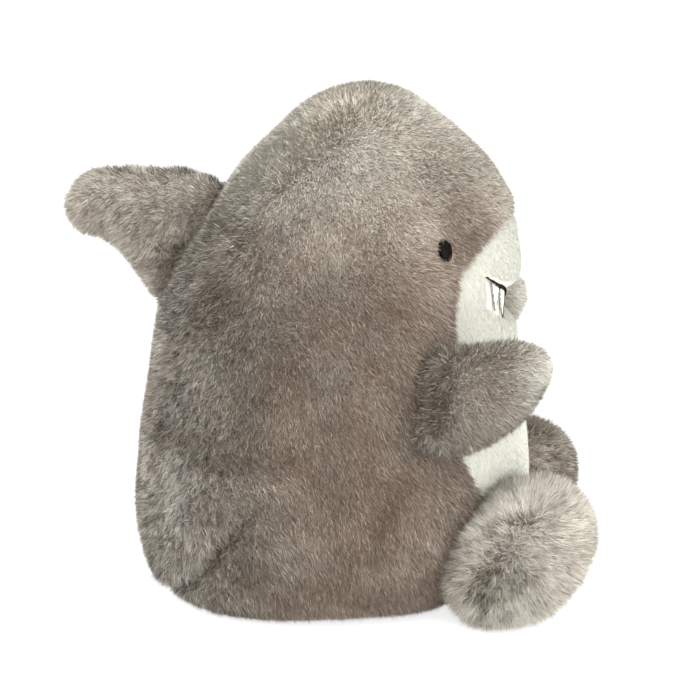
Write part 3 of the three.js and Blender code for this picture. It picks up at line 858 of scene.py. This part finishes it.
def turned(profile, sides, origin, axis):
    """A closed shape from a profile of (radius, height) points, turned about an axis."""
    axis = unit(np.asarray(axis, float))
    first = unit(np.cross(axis, (0.3, 0.2, 1)))
    second = np.cross(axis, first)
    angle = np.arange(sides) * 2 * math.pi / sides
    circle = np.cos(angle)[:, None] * first + np.sin(angle)[:, None] * second
    verts = np.vstack([origin + circle * r + axis * h for r, h in profile])
    rows = len(profile)
    faces = [
        (i * sides + j, i * sides + (j + 1) % sides, (i + 1) * sides + (j + 1) % sides, (i + 1) * sides + j)
        for i in range(rows - 1) for j in range(sides)
    ]
    faces += [tuple(range(sides)), tuple((rows - 1) * sides + j for j in range(sides))]
    return verts, outward(verts, faces)


def eye_profile():
    """The button's dome, rim and shank, as (radius, height)."""
    arc = np.linspace(0.02, 1, 14) * math.pi / 2
    dome = [(EYE_RADIUS * math.sin(t), EYE_DOME * math.cos(t)) for t in arc]
    back = [(EYE_RADIUS * 0.97, -0.4), (EYE_RADIUS * 0.8, -0.8), (SHANK_RADIUS, -1.0)]
    shank = [(SHANK_RADIUS, -SHANK_LENGTH), (SHANK_RADIUS * 0.6, -SHANK_LENGTH - 0.4)]
    return dome + back + shank


def washer_profile():
    top, bottom = -WASHER_DEPTH, -WASHER_DEPTH - WASHER_THICKNESS
    edge = WASHER_RADIUS - WASHER_ROUNDING
    return [
        (SHANK_RADIUS, top), (edge, top), (WASHER_RADIUS, top - WASHER_ROUNDING),
        (WASHER_RADIUS, bottom + WASHER_ROUNDING), (edge, bottom), (SHANK_RADIUS, bottom),
    ]


def eye(side):
    """A button in its pocket, turned forwards, and the washer that locks its shank inside."""
    label = "right" if side > 0 else "left"
    start = np.array(EYE_PLACE) * (side, 1, 1)
    place, normal = on_torso(start - (40 * side, 0, 0), (side, 0, 0))
    normal = unit(normal + np.array([0, -1.9, 0.5]))
    base = place + normal * 0.3
    for name, node, slot, material, profile, sides in (
        (f"eye_{label}_button", f"eye_{label}", "black_plastic", EYE_PLASTIC, eye_profile(), 40),
        (f"eye_washer_{label}", f"eye_washer_{label}", "nylon", NYLON, washer_profile(), 36),
    ):
        piece = make_mesh(name, *turned(profile, sides, base, normal), [material])
        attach(piece, "torso")
        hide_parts(node)


eye(1)
eye(-1)

# ---- Mouth ---------------------------------------------------------------------------------


def tubes(name, lines, radius, material, sides=5, taper=0.55):
    """One object of many short threads, each a list of points."""
    verts, faces = [], []
    for line in lines:
        line = np.asarray(line, float)
        way = np.gradient(line, axis=0)
        base = sum(len(v) for v in verts)
        first = unit(np.cross(way, (0.31, 0.2, 1)))
        second = unit(np.cross(way, first))
        fat = np.full(len(line), radius)
        fat[[0, -1]] *= taper
        angle = np.arange(sides)[:, None] * 2 * math.pi / sides
        for j in range(len(line)):
            verts.append(line[j] + fat[j] * (np.cos(angle) * first[j] + np.sin(angle) * second[j]))
        for j in range(len(line) - 1):
            for k in range(sides):
                m = (k + 1) % sides
                faces.append((base + j * sides + k, base + j * sides + m, base + (j + 1) * sides + m,
                              base + (j + 1) * sides + k))
        faces.append(tuple(base + k for k in range(sides))[::-1])
        faces.append(tuple(base + (len(line) - 1) * sides + k for k in range(sides)))
    return make_mesh(name, np.vstack(verts), faces, [material])


def stood(x, z, height):
    """A point above the face's cloth."""
    place, normal = on_torso((x, -90, z), (0, 1, 0))
    return place + normal * height


def stitched(name, lines, radius, material, taper=0.55, node=None):
    threads = tubes(name, lines, radius, material, taper=taper)
    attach(threads, "torso")
    if node:
        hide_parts(node)


def mouth():
    """A satin line of short slanting stitches under the lip, thinner towards its corners."""
    rng = np.random.default_rng(77)
    stitches = []
    for x in np.arange(-MOUTH_HALF_WIDTH, MOUTH_HALF_WIDTH, MOUTH_STITCH_GAP):
        half = 0.6 * (1 - (abs(x) / (MOUTH_HALF_WIDTH + 1)) ** 8)
        z = lip_height(x) - 0.5 - 1.4 * step(abs(x), 20, 15) + rng.normal(0, 0.1)
        ends = [(x - 0.15, z + half), (x, z), (x + 0.15, z - half)]
        stitches.append([stood(u, w, 0.6 + 0.4 * (k == 1)) for k, (u, w) in enumerate(ends)])
    stitched("mouth_line", stitches, THREAD_RADIUS, BLACK_THREAD,
             node="mouth_embroidery")


def tooth_corners():
    """Where neighbouring teeth meet along the mouth, evenly spaced round the face."""
    turn = np.radians(np.linspace(-60, 60, TOOTH_COUNT + 1))
    return TEETH_HALF_WIDTH * np.sin(turn) / np.sin(turn[-1])


def teeth():
    """Satin-stitched triangles, each outlined in small running stitches that thin out to its tip."""
    rng = np.random.default_rng(78)
    corners = tooth_corners()
    outline = []
    for number, (left, right) in enumerate(zip(corners[:-1], corners[1:]), 1):
        threads = []
        for x in np.arange(left + 0.3, right - 0.2, TOOTH_STITCH_GAP):
            share = 1 - abs(2 * (x - left) / (right - left) - 1)
            top = lip_height(x) - 1
            bottom = top - TOOTH_HEIGHT * share + rng.normal(0, 0.08)
            if top - bottom > 0.5:
                threads.append([stood(x, z, 0.45) for z in np.linspace(top, bottom, 7)])
        stitched(f"tooth_{number}_stitching", threads, THREAD_RADIUS, WHITE_THREAD,
                 node=f"tooth_{number}")
        middle = (left + right) / 2
        tip = np.array([middle, lip_height(middle) - TOOTH_HEIGHT - 1.2])
        for corner in (left, right):
            start = np.array([corner, lip_height(corner) - 0.7])
            path = start + (tip - start) * np.linspace(0, 1, 15)[:, None]
            stitches = [[stood(*a, 0.6), stood(*b, 0.64)] for a, b in zip(path[:-1], path[1:])]
            outline += [stitch for j, stitch in enumerate(stitches) if rng.random() < 1 - j / 24]
    stitched("tooth_outline", outline, OUTLINE_THREAD_RADIUS, BLACK_THREAD, taper=0.8)


mouth()
teeth()

# ---- Inside --------------------------------------------------------------------------------


def body_filling():
    verts, faces = torso_form.skin(56, 60)
    faces = outward(verts, faces)
    verts = displaced(verts, faces, torso_shape)
    verts = displaced(verts, faces, lambda p, n: -1.7 + 0.3 * noise(p, 4, 81))
    return make_mesh("body_stuffing", verts, faces, [STUFFING])


def pouch():
    return make_mesh("pellet_pouch_cloth", *turned(POUCH_PROFILE, 72, np.zeros(3), (0, 0, 1)), [POUCH_CLOTH])


def pellets():
    """Rounded beads, turned at random, in a heap on the pouch's floor."""
    rng = np.random.default_rng(82)
    arc = np.linspace(0.15, math.pi - 0.15, 6)
    profile = [(BEAD_RADIUS * math.sin(t), BEAD_HALF_HEIGHT * math.cos(t)) for t in arc]
    beads, bead_faces = [], []
    for k in range(BEAD_COUNT):
        radius, turn = BEAD_SPREAD * math.sqrt(rng.random()), rng.uniform(0, 2 * math.pi)
        height = rng.uniform(BEAD_FLOOR, BEAD_TOP - radius * HEAP_SLOPE)
        place = np.array([radius * math.cos(turn), radius * math.sin(turn), height])
        verts, faces = turned(profile, 8, place, rng.normal(size=3))
        base = k * len(verts)
        beads.append(verts)
        bead_faces += [tuple(i + base for i in face) for face in faces]
    return make_mesh("pellet_fill_beads", np.vstack(beads), bead_faces, [PELLETS])


for piece, node, slot in (
    (body_filling(), "body_stuffing", "stuffing"),
    (pouch(), "pellet_pouch", "pouch_cloth"),
    (pellets(), "pellet_fill", "pellets"),
):
    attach(piece, "torso")
    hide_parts(node)

# ---- Stage ---------------------------------------------------------------------------------


def studio():
    """An even white surround and a glowing white floor."""
    world = bpy.data.worlds.new("studio")
    bpy.context.scene.world = world
    world.use_nodes = True
    background = world.node_tree.nodes["Background"]
    background.inputs["Color"].default_value = (1, 1, 1, 1)
    background.inputs["Strength"].default_value = 1.0
    corners = np.array([(x, y, 0) for x, y in ((-1, -1), (1, -1), (1, 1), (-1, 1))]) * FLOOR_REACH
    glow = dict(Emission_Color=(1, 1, 1, 1), Emission_Strength=0.8)
    paper = principled("floor_paper", (0.5, 0.5, 0.5), 0.9, **glow)[0]
    floor = make_mesh("floor", corners, [(0, 1, 2, 3)], [paper], smooth=False)


def aimed(name, data, place, aim):
    """Adds a light or a camera at a place, looking at aim. Both are in metres."""
    obj = bpy.data.objects.new(name, data)
    obj.location = place
    obj.rotation_euler = (aim - obj.location).to_track_quat("-Z", "Y").to_euler()
    bpy.context.scene.collection.objects.link(obj)
    return obj


def lights():
    for name, place, size, power, colour in LIGHTS:
        lamp = bpy.data.lights.new(name, "AREA")
        lamp.size = size * MM
        lamp.energy = power
        lamp.color = colour
        aimed(name, lamp, Vector(place) * MM, Vector(LIGHT_AIM) * MM)


def camera():
    data = bpy.data.cameras.new("camera")
    data.lens = data.sensor_width * CAMERA_DISTANCE / CAMERA_FIELD
    tilt = math.radians(CAMERA_ELEVATION)
    aim = Vector(CAMERA_AIM) * MM
    back = Vector((-math.cos(tilt), 0, math.sin(tilt))) * CAMERA_DISTANCE * MM
    bpy.context.scene.camera = aimed("camera", data, aim + back, aim)
    bpy.context.scene.view_settings.view_transform = "Standard"


studio()
lights()
camera()
